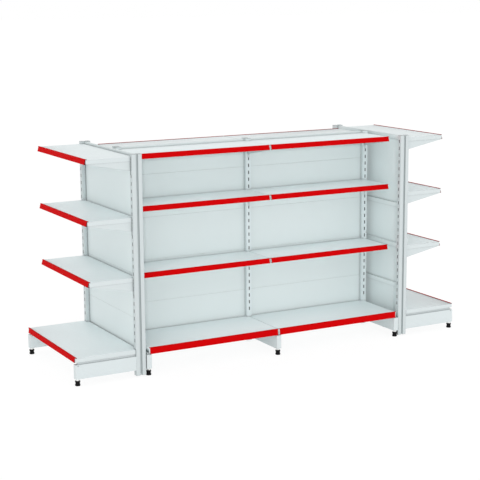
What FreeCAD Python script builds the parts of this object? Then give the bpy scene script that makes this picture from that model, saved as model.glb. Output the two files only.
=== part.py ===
import FreeCAD, Part
import math
import os

# Gondola shelving: a double-sided run of two bays with a single-sided end bay closing each end.
# Millimetres. +X runs along the gondola, -Y is the front, +Z is up, the floor is at Z = 0.
# The origin is on the floor under the middle of the run.

# Layout of the run
bay_length = 1000.0           # main bay, upright centre to upright centre
end_gap = 2.0                 # between a main upright and the inner face of the end uprights

# Uprights: a folded tube with a panel groove down each wide side and slots in both narrow faces
upright_depth = 70.0          # slotted face to slotted face
upright_side_step = 2.0       # side of a leg to the side of its upright, along the bay
upright_wall = 1.5
upright_chamfer = 2.0
upright_floor_gap = 8.0
upright_above_top_slot = 43.0
upright_cap_thickness = 3.0   # plastic cap over the open end of the tube
upright_plug_depth = 12.0     # its plug inside the tube
upright_plug_clearance = 0.3
groove_width = 16.0
groove_depth = 13.0
slot_width = 7.0
slot_height = 24.0
slot_pitch = 50.0
slot_count = 25
first_slot_above_base = 60.0

# Shelf levels, as the number of the slot that takes the bracket's upper hook
main_level_slots = {"lower": 8, "middle": 17, "top": 24}
end_level_slots = {"lower": 8, "middle": 16, "top": 24}
deck_above_hook = 25.0

# Decks: folded steel trays, open below. Depths run from the slotted face to the front of the tray
deck_sheet = 1.5
deck_depth = 309.5
deck_skirt = 28.0
base_deck_setback = 4.5       # leg front to the front of the base tray
base_deck_skirt = 33.0
base_front_skirt = 38.0
deck_end_gap = 2.0            # from the upright centre to the end of the tray
end_base_inset = 2.0          # outer side of an end leg to the end of the base tray over it
deck_cap_clearance = 8.0      # from the panel cap to the rear edge of the tray
deck_upright_clearance = 1.5
stiffener_width = 60.0
stiffener_height = 15.0
stiffener_end_gap = 40.0

# Price strips: clip-on channels over the front skirt of each deck
strip_wall = 2.5
strip_rise = 3.0              # above the deck
strip_lip = 10.0              # top lip, front to back
strip_tilt = 9.0              # how far the face leans out at the bottom
base_strip_tilt = 5.0
strip_foot_lip = 6.0
strip_snap = 0.5              # room between the skirt and the foot lip
strip_end_inset = 1.0         # from the end of the tray to the end of the top lip
strip_face_inset = 5.0        # from the end of the top lip to the end of the face
end_base_face_inset = 15.0    # the same at the wider base trays of the end bays

# Shelf brackets: tapered plates hooked into the slots, hidden inside the deck's end skirts
bracket_sheet = 2.0
bracket_skirt_clearance = 1.0
bracket_front_gap = 5.0
bracket_front_drop = 33.0     # deck top to the front of the lower edge
bracket_rear_drop = 90.0      # deck top to the rear of the lower edge
bracket_flange = 12.0
hook_height = 14.0
hook_lip = 9.0
hook_below = 43.0             # lower hook centre to the bottom of the heel
hook_side_clearance = 0.2
hook_wall_clearance = 0.3
hook_thickness = 3.0
bracket_pair_gap = 0.8        # between the two brackets that share a slot

# Base legs: inverted channels with a narrower rail on top that carries the base decks
leg_width = 36.0
leg_height = 96.0
leg_rail_width = 18.0
leg_rail_height = 12.0
leg_rail_setback = 18.0       # leg front to the front of the rail
leg_wall = 2.0
leg_depth = 430.0             # slotted face to the front of the leg
end_leg_inset = 7.0           # front of a main leg to the outer side of an end leg
leg_hook_rise = 11.0          # leg underside to the centre of the lower hook
nut_plate_thickness = 4.0
nut_plate_length = 34.0
nut_across_flats = 17.0
nut_height = 8.0
foot_setback = 18.0           # leg front to the centre of the foot
lock_slot_length = 8.0
lock_slot_height = 4.0
lock_slot_setback = 22.0
lock_slot_drop = 3.0

# Levelling feet: a black moulding on a zinc stud with a hexagon that stops under the leg
foot_height = 46.0            # floor to the underside of the leg
foot_moulding_height = 33.0
foot_pad_radius = 17.5
foot_pad_height = 10.0
foot_pad_edge = 1.0
foot_taper = 3.0
foot_waist_radius = 15.0
foot_collar_radius = 17.5
foot_collar_height = 9.0
foot_collar_taper = 2.0
foot_stud_seat = 8.0          # floor to the bottom of the stud
stud_radius = 5.0
stud_length = 32.0            # underside of the leg to the top of the stud
stud_clearance = 0.08
stud_hexagon_height = 12.0
stud_hexagon_across_flats = 24.0

# Back panels, stacked in the grooves, with a tube rail under them and a cap over them
panel_sheet = 1.2
panel_chamfer = 0.5
panel_pitch = 300.0
end_top_panel_rows = 2        # pitches that the top panel of an end bay covers
panel_seam = 0.5              # gap between one panel and the next
panel_layer_depth = 6.0       # each of the two layers of the main run
panel_layer_gap = 1.0
end_panel_depth = 12.0
end_panel_lip = 28.0          # return fold along the top of an end panel
panel_end_clearance = 1.5
panel_below_base = 100.0      # base deck top to the bottom of the lowest panel
panel_below_upright = 5.0
rail_height = 40.0
rail_depth = 13.0
rail_wall = 1.5
cap_height = 20.0
cap_wall = 1.5
cap_clearance = 0.3
cap_end_gap = 1.0

# Corner ties: bolts that join the outer main legs to the end uprights
tie_bolt_radius = 4.0
tie_bolt_clearance = 0.2
tie_bolt_rise = 36.0          # leg underside to the bolt
tie_bolt_spare = 2.0          # bolt past its nut
tie_head_across_flats = 13.0
tie_head_height = 5.3
tie_nut_height = 6.5
tie_spacer_radius = 9.0

# Worked out from the sizes above
leg_top = foot_height + leg_height
base_deck_top = leg_top + leg_rail_height + base_deck_skirt
first_slot = base_deck_top + first_slot_above_base
upright_top = first_slot + (slot_count - 1) * slot_pitch + upright_above_top_slot
tube_top = upright_top - upright_cap_thickness
half_depth = upright_depth / 2.0
half_width = leg_width / 2.0 + upright_side_step
groove_floor = half_width - groove_depth
run_half = bay_length
end_centre = run_half + half_width + end_gap + half_depth
end_bay_length = 2.0 * (half_depth + leg_depth - end_leg_inset) - leg_width
base_deck_depth = leg_depth - base_deck_setback
panel_bottom = base_deck_top - panel_below_base
panel_top = upright_top - panel_below_upright
panel_outer = panel_layer_gap / 2.0 + panel_layer_depth
end_rail_height = leg_rail_height + base_deck_skirt - deck_sheet
leg_hooks = (foot_height + leg_hook_rise, foot_height + leg_hook_rise + slot_pitch)
bracket_near = deck_end_gap + deck_sheet + bracket_skirt_clearance
bracket_far = bracket_near + bracket_sheet
deck_fold_radius = bracket_skirt_clearance    # inside of the folds along the ends of a tray
heel_drop = deck_above_hook + slot_pitch + hook_below
foot_distance = leg_depth - foot_setback
tie_bolt_height = foot_height + tie_bolt_rise
margin = 5.0                  # how far a cutting block runs past what it cuts

origin = FreeCAD.Vector(0, 0, 0)
up = FreeCAD.Vector(0, 0, 1)


def block(x_low, x_high, y_low, y_high, z_low, z_high):
    """A box between two corners."""
    corner = FreeCAD.Vector(x_low, y_low, z_low)
    return Part.makeBox(x_high - x_low, y_high - y_low, z_high - z_low, corner)


def folded_block(x_low, x_high, y_low, y_high, z_low, z_high, radius):
    """A box whose two upper edges along y are rounded."""
    shape = block(x_low, x_high, y_low, y_high, z_low, z_high)
    middle = (z_low + z_high) / 2.0
    folds = [edge for edge in shape.Edges
             if edge.BoundBox.YLength > edge.BoundBox.XLength and edge.BoundBox.ZMin > middle]
    return shape.makeFillet(radius, folds)


def prism(points, reach):
    """A polygon carried along the vector reach."""
    corners = [FreeCAD.Vector(*point) for point in points]
    return Part.Face(Part.makePolygon(corners + corners[:1])).extrude(FreeCAD.Vector(*reach))


def hexagon(across_flats, height, base, axis):
    """A hexagonal prism that starts at base and runs along axis."""
    radius = across_flats / math.sqrt(3.0)
    angles = [math.radians(60.0 * step) for step in range(6)]
    points = [(radius * math.cos(angle), radius * math.sin(angle), 0.0) for angle in angles]
    shape = prism(points, (0.0, 0.0, height))
    shape.Placement = FreeCAD.Placement(base, FreeCAD.Rotation(up, axis))
    return shape


def placed(shape, turn, x_shift=0.0, y_shift=0.0):
    """A copy turned about the vertical through the origin and then shifted."""
    copy = shape.copy()
    copy.rotate(origin, up, turn)
    copy.translate(FreeCAD.Vector(x_shift, y_shift, 0.0))
    return copy


def save(node, solids):
    """Write the separate solids of one node to its file."""
    Part.makeCompound(solids).exportStep(os.path.join("parts", node + ".step"))


# Every bay side is made in one local frame: the middle of the bay at x = 0, the panel plane at
# y = 0, and the shelves standing out towards -y. These turns and shifts put it in its place.
main_sides = {
    "front_left": (0.0, -run_half / 2.0),
    "front_right": (0.0, run_half / 2.0),
    "rear_left": (180.0, -run_half / 2.0),
    "rear_right": (180.0, run_half / 2.0),
}
end_sides = {
    "left_end": (-90.0, -end_centre),
    "right_end": (90.0, end_centre),
}


def deck_top_of(slot_number):
    """Height of a deck whose bracket hangs in this slot."""
    return first_slot + slot_number * slot_pitch + deck_above_hook


def out(distance):
    """The local y of a point this far in front of the slotted face."""
    return -half_depth - distance


def upright_outline(inset):
    """The tube's section, grooves included, drawn in by the wall for its hollow."""
    wide = half_width - inset
    deep = half_depth - inset
    chamfer = upright_chamfer - inset * (2.0 - math.sqrt(2.0))
    groove = groove_width / 2.0 + inset
    floor = groove_floor - inset
    quarter = [(wide - chamfer, -deep), (wide, -deep + chamfer), (wide, -groove), (floor, -groove)]
    right = quarter + [(x, -y) for x, y in reversed(quarter)]
    return right + [(-x, -y) for x, y in right]


def upright():
    """One upright, centred on the vertical axis."""
    length = (0.0, 0.0, tube_top - upright_floor_gap)
    outer = prism([(x, y, upright_floor_gap) for x, y in upright_outline(0.0)], length)
    inner = prism([(x, y, upright_floor_gap) for x, y in upright_outline(upright_wall)], length)
    slot_heights = [first_slot + number * slot_pitch for number in range(slot_count)]
    slots = [block(-slot_width / 2.0, slot_width / 2.0,
                   -half_depth - margin, half_depth + margin,
                   height - slot_height / 2.0, height + slot_height / 2.0)
             for height in slot_heights + list(leg_hooks)]
    return outer.cut(inner).cut(slots)


def upright_cap():
    """The cap of one upright: a plate of the tube's section and a plug that fits its hollow."""
    plug_bottom = tube_top - upright_plug_depth
    plate = prism([(x, y, tube_top) for x, y in upright_outline(0.0)], (0.0, 0.0, upright_cap_thickness))
    plug = prism([(x, y, plug_bottom) for x, y in upright_outline(upright_wall + upright_plug_clearance)],
                 (0.0, 0.0, upright_plug_depth))
    return plate.fuse(plug)


def hooks(x_low, x_high, heights):
    """Tabs that pass through slots at these heights and turn down behind the wall."""
    lip_front = upright_wall + hook_wall_clearance
    lip_back = lip_front + hook_thickness
    pieces = []
    for height in heights:
        low = height - hook_height / 2.0
        pieces.append(block(x_low, x_high, out(bracket_sheet), out(-lip_back), low, low + hook_height))
        pieces.append(block(x_low, x_high, out(-lip_front), out(-lip_back),
                            low - hook_lip, low + hook_height))
    return pieces


def bracket(length, deck_top, side):
    """The bracket at one end of a bay; side is -1 for the low-x end and +1 for the other."""
    centre = side * length / 2.0

    def across(near, far):
        """The x range between two distances from the upright centre, towards the bay."""
        return sorted((centre - side * near, centre - side * far))

    top = deck_top - deck_sheet
    rear_bottom = deck_top - bracket_rear_drop
    front = deck_depth - deck_sheet - bracket_front_gap
    near, far = across(bracket_near, bracket_far)
    outline = [(near, out(0.0), top), (near, out(0.0), rear_bottom),
               (near, out(bracket_sheet), rear_bottom),
               (near, out(front), deck_top - bracket_front_drop), (near, out(front), top)]
    plate = prism(outline, (far - near, 0.0, 0.0))
    flange = block(*across(bracket_near, bracket_near + bracket_flange),
                   out(front), out(deck_upright_clearance + bracket_sheet), top - bracket_sheet, top)
    heel = block(*across(bracket_pair_gap / 2.0, bracket_far), out(bracket_sheet), out(0.0),
                 deck_top - heel_drop, top)
    upper_hook = deck_top - deck_above_hook
    hook_span = across(bracket_pair_gap / 2.0, slot_width / 2.0 - hook_side_clearance)
    tabs = hooks(*hook_span, (upper_hook, upper_hook - slot_pitch))
    return plate.fuse([flange, heel] + tabs).removeSplitter()


def deck(length, end, depth, skirt, front_skirt, deck_top, panel_face):
    """A tray from -end to end, notched round two uprights, with a channel under its middle."""
    notch_end = length / 2.0 - half_width - deck_upright_clearance
    notch_y = out(deck_upright_clearance + bracket_sheet)
    rear = -(panel_face + cap_clearance + cap_wall + deck_cap_clearance)
    front = out(depth)
    low = deck_top - skirt
    sheet_top = deck_top - deck_sheet
    body = folded_block(-end, end, front, notch_y, low, deck_top, deck_fold_radius + deck_sheet)
    tail = block(-notch_end, notch_end, notch_y, rear, low, deck_top)
    front_fold = block(-end, end, front, front + deck_sheet, deck_top - front_skirt, low + deck_sheet)
    pocket = folded_block(-end + deck_sheet, end - deck_sheet, front + deck_sheet, notch_y, low, sheet_top,
                          deck_fold_radius)
    tail_pocket = block(-notch_end + deck_sheet, notch_end - deck_sheet,
                        notch_y, rear - deck_sheet, low, sheet_top)
    tray = body.fuse(tail).cut([pocket, tail_pocket]).fuse(front_fold).removeSplitter()
    middle = (front + notch_y) / 2.0
    rib_end = length / 2.0 - stiffener_end_gap
    rib = block(-rib_end, rib_end, middle - stiffener_width / 2.0, middle + stiffener_width / 2.0,
                sheet_top - stiffener_height, sheet_top)
    rib_hollow = block(-rib_end - margin, rib_end + margin,
                       middle - stiffener_width / 2.0 + deck_sheet,
                       middle + stiffener_width / 2.0 - deck_sheet,
                       sheet_top - stiffener_height + deck_sheet, sheet_top)
    return tray.fuse(rib.cut(rib_hollow))


def price_strip(lip_end, face_end, depth, front_skirt, tilt, deck_top):
    """A channel clipped over the front skirt: top lip, leaning face and foot lip."""
    top = deck_top + strip_rise
    low = deck_top - front_skirt - strip_snap - strip_wall
    front_top = depth + strip_wall
    front_low = front_top + tilt
    lip_back = front_top - strip_lip
    foot_back = front_top - strip_foot_lip
    bevel = strip_wall / 2.0
    section = [(front_low, low), (foot_back, low), (foot_back, low + strip_wall),
               (front_low - strip_wall, low + strip_wall), (depth, deck_top),
               (lip_back, deck_top), (lip_back, top - bevel), (lip_back + bevel, top),
               (front_top - bevel, top), (front_top, top - bevel)]
    strip = prism([(-lip_end, out(d), z) for d, z in section], (2.0 * lip_end, 0.0, 0.0))
    ends = [block(*span, out(front_low + margin), out(foot_back - margin), low - margin, deck_top)
            for span in ((-lip_end - margin, -face_end), (face_end, lip_end + margin))]
    return strip.cut(ends)


def leg_sections(rail_height, inset):
    """Outlines of the channel and of the rail on top of it, drawn in by the wall for their hollows."""
    side = leg_width / 2.0 - inset
    rail = leg_rail_width / 2.0 - inset
    shoulder = leg_top - inset
    crown = leg_top + rail_height - inset
    channel = [(side, foot_height), (side, shoulder), (-side, shoulder), (-side, foot_height)]
    top = [(rail, shoulder), (rail, crown), (-rail, crown), (-rail, shoulder)]
    return channel, top


def leg_body(rail_height, inset):
    """Channel and rail as one solid, drawn in by the wall at every face but the open underside."""
    channel, top = leg_sections(rail_height, inset)
    low = prism([(x, out(inset), z) for x, z in channel], (0.0, -(leg_depth - 2.0 * inset), 0.0))
    high = prism([(x, out(inset), z) for x, z in top],
                 (0.0, -(leg_depth - leg_rail_setback - 2.0 * inset), 0.0))
    return low.fuse(high)


def base_leg(rail_height):
    """A base leg, standing out from the slotted face of an upright on the local axis."""
    lock_top = leg_top - leg_wall - lock_slot_drop
    lock_slot = block(-leg_width, leg_width,
                      out(leg_depth - lock_slot_setback + lock_slot_length),
                      out(leg_depth - lock_slot_setback), lock_top - lock_slot_height, lock_top)
    leg = leg_body(rail_height, 0.0).cut([leg_body(rail_height, leg_wall), lock_slot])
    plate = block(-leg_width / 2.0 + leg_wall, leg_width / 2.0 - leg_wall,
                  out(leg_depth - leg_wall), out(leg_depth - leg_wall - nut_plate_length),
                  foot_height, foot_height + nut_plate_thickness)
    nut_base = FreeCAD.Vector(0.0, out(foot_distance), foot_height + nut_plate_thickness)
    nut = hexagon(nut_across_flats, nut_height, nut_base, up)
    thread = Part.makeCylinder(stud_radius + stud_clearance, leg_height - margin,
                               FreeCAD.Vector(0.0, out(foot_distance), foot_height - margin), up)
    hook_half = slot_width / 2.0 - hook_side_clearance
    tabs = hooks(-hook_half, hook_half, leg_hooks)
    return leg.fuse([plate, nut] + tabs).cut(thread).removeSplitter()


def levelling_foot():
    """A moulded foot and its steel stud, on the vertical through the leg's thread."""
    collar_low = foot_moulding_height - foot_collar_height
    profile = [(0.0, 0.0), (foot_pad_radius - foot_pad_edge, 0.0), (foot_pad_radius, foot_pad_edge),
               (foot_pad_radius, foot_pad_height), (foot_waist_radius, foot_pad_height + foot_taper),
               (foot_waist_radius, collar_low - foot_collar_taper), (foot_collar_radius, collar_low),
               (foot_collar_radius, foot_moulding_height), (stud_radius, foot_moulding_height),
               (stud_radius, foot_stud_seat), (0.0, foot_stud_seat)]
    points = [FreeCAD.Vector(radius, 0.0, height) for radius, height in profile]
    moulding = Part.Face(Part.makePolygon(points + points[:1])).revolve(origin, up, 360.0)
    stud_top = foot_height + stud_length
    stud_base = FreeCAD.Vector(0, 0, foot_stud_seat)
    stud = Part.makeCylinder(stud_radius, stud_top - foot_stud_seat, stud_base, up)
    grip_base = FreeCAD.Vector(0, 0, foot_height - stud_hexagon_height)
    stud = stud.fuse(hexagon(stud_hexagon_across_flats, stud_hexagon_height, grip_base, up)).removeSplitter()
    return [placed(solid, 0.0, 0.0, out(foot_distance)) for solid in (moulding, stud)]


def panel_heights(top_rows):
    """Bottom and top of each panel in a stack, the top one covering this many pitches or what is left."""
    rows = math.ceil((panel_top - panel_bottom) / panel_pitch - 1e-6) - top_rows + 1
    lows = [panel_bottom + row * panel_pitch for row in range(rows)]
    return list(zip(lows, [low - panel_seam for low in lows[1:]] + [panel_top]))


def panel(length, face_y, back_y, low, high, lip_height):
    """A shallow tray, smooth towards -y, with its face edges broken and a return fold if it has one."""
    end = length / 2.0 - groove_floor - panel_end_clearance
    section = [(face_y, low + panel_chamfer), (face_y, high - panel_chamfer),
               (face_y + panel_chamfer, high), (back_y, high), (back_y, low),
               (face_y + panel_chamfer, low)]
    outer = prism([(-end, y, z) for y, z in section], (2.0 * end, 0.0, 0.0))
    pocket = block(-end + panel_sheet, end - panel_sheet, face_y + panel_sheet, back_y,
                   low + panel_sheet, high - panel_sheet)
    tray = outer.cut(pocket)
    if lip_height > 0.0:
        lip = block(-end, end, back_y - panel_sheet, back_y, high - lip_height, high)
        tray = tray.fuse(lip).removeSplitter()
    return tray


def panel_stack(length, face_y, back_y, top_rows=1, lip_height=0.0):
    """All the panels of one bay, each with a return fold of this height along its top."""
    return [panel(length, face_y, back_y, low, high, lip_height) for low, high in panel_heights(top_rows)]


def bottom_rail(length):
    """A tube between the groove floors of two uprights, under the panels."""
    end = length / 2.0 - groove_floor
    half = rail_depth / 2.0
    low = panel_bottom - rail_height
    outer = block(-end, end, -half, half, low, panel_bottom)
    inner = block(-end - margin, end + margin, -half + rail_wall, half - rail_wall,
                  low + rail_wall, panel_bottom - rail_wall)
    return outer.cut(inner)


def top_cap(length, panel_half_depth):
    """A channel that sits over the top edge of the panels, between two uprights."""
    end = length / 2.0 - half_width - cap_end_gap
    inner_half = panel_half_depth + cap_clearance
    outer_half = inner_half + cap_wall
    top = panel_top + cap_wall
    outer = block(-end, end, -outer_half, outer_half, top - cap_height, top)
    inner = block(-end - margin, end + margin, -inner_half, inner_half,
                  top - cap_height - margin, panel_top)
    return outer.cut(inner)


def tie_parts(start):
    """Bolt, nut and spacer of one corner tie along +X, with the head's bearing face at start."""
    along = FreeCAD.Vector(1, 0, 0)
    leg_clearance = half_width + end_gap - leg_width / 2.0
    spacer_at = start + along * leg_wall
    nut_at = start + along * (leg_wall + leg_clearance + upright_wall)
    grip = leg_wall + leg_clearance + upright_wall + tie_nut_height + tie_bolt_spare
    hole = Part.makeCylinder(tie_bolt_radius + tie_bolt_clearance, grip + margin, start, along)
    head = hexagon(tie_head_across_flats, tie_head_height, start - along * tie_head_height, along)
    bolt = head.fuse(Part.makeCylinder(tie_bolt_radius, grip, start, along)).removeSplitter()
    nut = hexagon(tie_head_across_flats, tie_nut_height, nut_at, along).cut(hole)
    spacer = Part.makeCylinder(tie_spacer_radius, leg_clearance, spacer_at, along).cut(hole)
    return bolt, nut, spacer, hole


os.makedirs("parts", exist_ok=True)

# Corner ties come first, because their holes go through the outer legs and the end uprights
right_ties = [tie_parts(FreeCAD.Vector(run_half + leg_width / 2.0 - leg_wall, y, tie_bolt_height))
              for y in (-end_bay_length / 2.0, end_bay_length / 2.0)]
tie_solids = [solid for tie in right_ties for solid in tie[:3]]
tie_holes = [tie[3] for tie in right_ties]
all_ties = tie_solids + [placed(solid, 180.0) for solid in tie_solids]
all_holes = tie_holes + [placed(hole, 180.0) for hole in tie_holes]
save("corner_tie_bolts", all_ties)

# Uprights and their caps
one_upright = upright()
one_cap = upright_cap()
main_axes = (-run_half, 0.0, run_half)
save("main_uprights", [placed(one_upright, 0.0, x) for x in main_axes])
end_axes = [(turn, shift, y) for turn, shift in end_sides.values()
            for y in (-end_bay_length / 2.0, end_bay_length / 2.0)]
save("end_uprights", [placed(one_upright, turn, shift, y).cut(all_holes) for turn, shift, y in end_axes])
upright_places = [(0.0, x, 0.0) for x in main_axes] + end_axes
save("upright_caps", [placed(one_cap, *place) for place in upright_places])

# Base legs and their levelling feet. The end legs carry their tray's sheet, the others its skirts
main_leg = base_leg(leg_rail_height)
end_leg = base_leg(end_rail_height)
one_foot = levelling_foot()
main_stands = [("front", 0.0), ("rear", 180.0)]
main_legs = [placed(main_leg, turn, x).cut(all_holes) for side, turn in main_stands for x in main_axes]
save("main_base_legs", main_legs)
save("end_base_legs", [placed(end_leg, turn, shift, y) for turn, shift, y in end_axes])
for side, turn in main_stands:
    for place, x in zip(("left", "middle", "right"), main_axes):
        save("foot_" + side + "_" + place, [placed(solid, turn, x) for solid in one_foot])
for end_name, (turn, shift) in end_sides.items():
    for place, y in (("front", -end_bay_length / 2.0), ("rear", end_bay_length / 2.0)):
        save("foot_" + end_name + "_" + place, [placed(solid, turn, shift, y) for solid in one_foot])

# Back panels, rails and caps
main_stack = panel_stack(bay_length, -panel_outer, -panel_layer_gap / 2.0)
end_stack = panel_stack(end_bay_length, -end_panel_depth / 2.0, end_panel_depth / 2.0,
                        end_top_panel_rows, end_panel_lip)
save("main_panels", [placed(solid, *place) for place in main_sides.values() for solid in main_stack])
save("end_panels", [placed(solid, *place) for place in end_sides.values() for solid in end_stack])
front_places = [main_sides["front_left"], main_sides["front_right"]]
rails = [placed(bottom_rail(bay_length), *place) for place in front_places]
rails += [placed(bottom_rail(end_bay_length), *place) for place in end_sides.values()]
save("bottom_rails", rails)
caps = [placed(top_cap(bay_length, panel_outer), *place) for place in front_places]
caps += [placed(top_cap(end_bay_length, end_panel_depth / 2.0), *place) for place in end_sides.values()]
save("top_caps", caps)

# Base decks and their price strips
base_decks = []
base_strips = []
main_tray_end = bay_length / 2.0 - deck_end_gap
end_tray_end = end_bay_length / 2.0 + leg_width / 2.0 - end_base_inset
for sides, length, tray_end, skirt, front_skirt, face_inset, panel_face in (
        (main_sides, bay_length, main_tray_end, base_deck_skirt, base_front_skirt,
         strip_face_inset, panel_outer),
        (end_sides, end_bay_length, end_tray_end, deck_skirt, deck_skirt,
         end_base_face_inset, end_panel_depth / 2.0)):
    lip_end = tray_end - strip_end_inset
    tray = deck(length, tray_end, base_deck_depth, skirt, front_skirt, base_deck_top, panel_face)
    strip = price_strip(lip_end, lip_end - face_inset, base_deck_depth, front_skirt,
                        base_strip_tilt, base_deck_top)
    base_decks += [placed(tray, *place) for place in sides.values()]
    base_strips += [placed(strip, *place) for place in sides.values()]
save("base_decks", base_decks)
save("base_price_strips", base_strips)

# Upper shelves: brackets stay on the uprights, each deck lifts off with its price strip
for group, sides, levels, length, panel_face in (
        ("main", main_sides, main_level_slots, bay_length, panel_outer),
        ("end", end_sides, end_level_slots, end_bay_length, end_panel_depth / 2.0)):
    tray_end = length / 2.0 - deck_end_gap
    lip_end = tray_end - strip_end_inset
    brackets = []
    for level, slot_number in levels.items():
        top = deck_top_of(slot_number)
        tray = deck(length, tray_end, deck_depth, deck_skirt, deck_skirt, top, panel_face)
        strip = price_strip(lip_end, lip_end - strip_face_inset, deck_depth, deck_skirt, strip_tilt, top)
        pair = [bracket(length, top, end) for end in (-1, 1)]
        for side, place in sides.items():
            save("deck_" + side + "_" + level, [placed(tray, *place)])
            save("strip_" + side + "_" + level, [placed(strip, *place)])
            brackets += [placed(solid, *place) for solid in pair]
    save(group + "_shelf_brackets", brackets)
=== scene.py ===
"""Looks of the gondola shelving: finishes for the steelwork, red price strips, black feet and a studio.

Everything is in metres in the part's own frame: +X along the run, -Y to the front, +Z up.
"""

import logging
import math
from dataclasses import dataclass, field
from enum import Enum
from typing import Iterable, Sequence

import bmesh
import bpy
import numpy as np
from mathutils import Matrix, Vector

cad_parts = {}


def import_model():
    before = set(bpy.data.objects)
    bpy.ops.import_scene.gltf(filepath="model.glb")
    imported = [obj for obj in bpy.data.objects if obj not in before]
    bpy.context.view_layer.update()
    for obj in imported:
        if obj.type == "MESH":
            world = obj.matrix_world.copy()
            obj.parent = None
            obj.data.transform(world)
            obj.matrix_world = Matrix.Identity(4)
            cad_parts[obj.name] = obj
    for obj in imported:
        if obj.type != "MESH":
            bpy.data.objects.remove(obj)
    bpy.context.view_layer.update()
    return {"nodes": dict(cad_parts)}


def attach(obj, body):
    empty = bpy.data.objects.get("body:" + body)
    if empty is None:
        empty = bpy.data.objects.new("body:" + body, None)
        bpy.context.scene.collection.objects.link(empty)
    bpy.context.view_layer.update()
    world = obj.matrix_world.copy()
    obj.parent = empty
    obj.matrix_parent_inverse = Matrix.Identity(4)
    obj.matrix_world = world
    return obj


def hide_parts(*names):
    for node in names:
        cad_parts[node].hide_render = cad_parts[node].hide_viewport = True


LOG = logging.getLogger("gondola")
IMAGE_PIXELS = 480
SENSOR_MM = 36.0
FRAME_BODY = "frame"
BAY_LENGTH = 1.0
HALF_BAY = BAY_LENGTH / 2.0
END_PLANE = 1.057
END_HALF_BAY = 0.44
BASE_DECK_TOP = 0.187
SLOTTED_FACE = 0.035
MERGE_DISTANCE = 1e-6
CREVICE_SAMPLES = 5
TONE_DRIFT_SCALE = 3.2
ROUGHNESS_DRIFT_SCALE = 31.0
NOISE_MIDDLE = 0.5
SPECK_SHARE = 0.5
CORNER_EDGE_SHARE = 0.45
WHITE = (1.0, 1.0, 1.0, 1.0)
FULL_TURN = 2.0 * math.pi
FLOAT = "NodeSocketFloat"
COLOR = "NodeSocketColor"
VECTOR = "NodeSocketVector"

Color = tuple[float, float, float]
Place = tuple[float, float]
Socket = bpy.types.NodeSocket


class Level(Enum):
    """The upper shelf levels, with the deck heights in the run and in the end bays."""

    LOWER = ("lower", 0.672, 0.672)
    MIDDLE = ("middle", 1.122, 1.072)
    TOP = ("top", 1.472, 1.472)

    def __init__(self, label: str, main_top: float, end_top: float) -> None:
        """Keep the level's name and its two deck heights.

        Args:
            label: the level's name.
            main_top: the decks' height in the run.
            end_top: the decks' height in the end bays.
        """
        self.label = label
        self.main_top = main_top
        self.end_top = end_top


class BaySide(Enum):
    """The six bay sides, in the run and at its ends."""

    FRONT_LEFT = ("front_left", (-HALF_BAY, 0.0), (0.0, -1.0), False)
    FRONT_RIGHT = ("front_right", (HALF_BAY, 0.0), (0.0, -1.0), False)
    REAR_LEFT = ("rear_left", (-HALF_BAY, 0.0), (0.0, 1.0), False)
    REAR_RIGHT = ("rear_right", (HALF_BAY, 0.0), (0.0, 1.0), False)
    LEFT_END = ("left_end", (-END_PLANE, 0.0), (-1.0, 0.0), True)
    RIGHT_END = ("right_end", (END_PLANE, 0.0), (1.0, 0.0), True)

    def __init__(self, label: str, middle: Place, outward: Place, is_end: bool) -> None:
        """Keep the side's name, place and kind.

        Args:
            label: the side's name.
            middle: the middle of its panel plane.
            outward: the direction in which its shelves reach out.
            is_end: whether it is an end bay.
        """
        self.label = label
        self.middle = middle
        self.outward = outward
        self.is_end = is_end

    def deck_top(self, level: Level) -> float:
        """Height of this side's deck at a level."""
        return level.end_top if self.is_end else level.main_top

    def place(self, points: np.ndarray) -> np.ndarray:
        """Carry local points into the part's frame.

        Args:
            points: an array whose last axis is (along the bay, out from the panel plane, up).

        Returns:
            The same array in the part's frame.
        """
        out = np.array([*self.outward, 0.0])
        along = np.array([-self.outward[1], self.outward[0], 0.0])
        rise = np.array([0.0, 0.0, 1.0])
        middle = np.array([*self.middle, 0.0])
        return middle + points[..., 0:1] * along + points[..., 1:2] * out + points[..., 2:3] * rise


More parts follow.
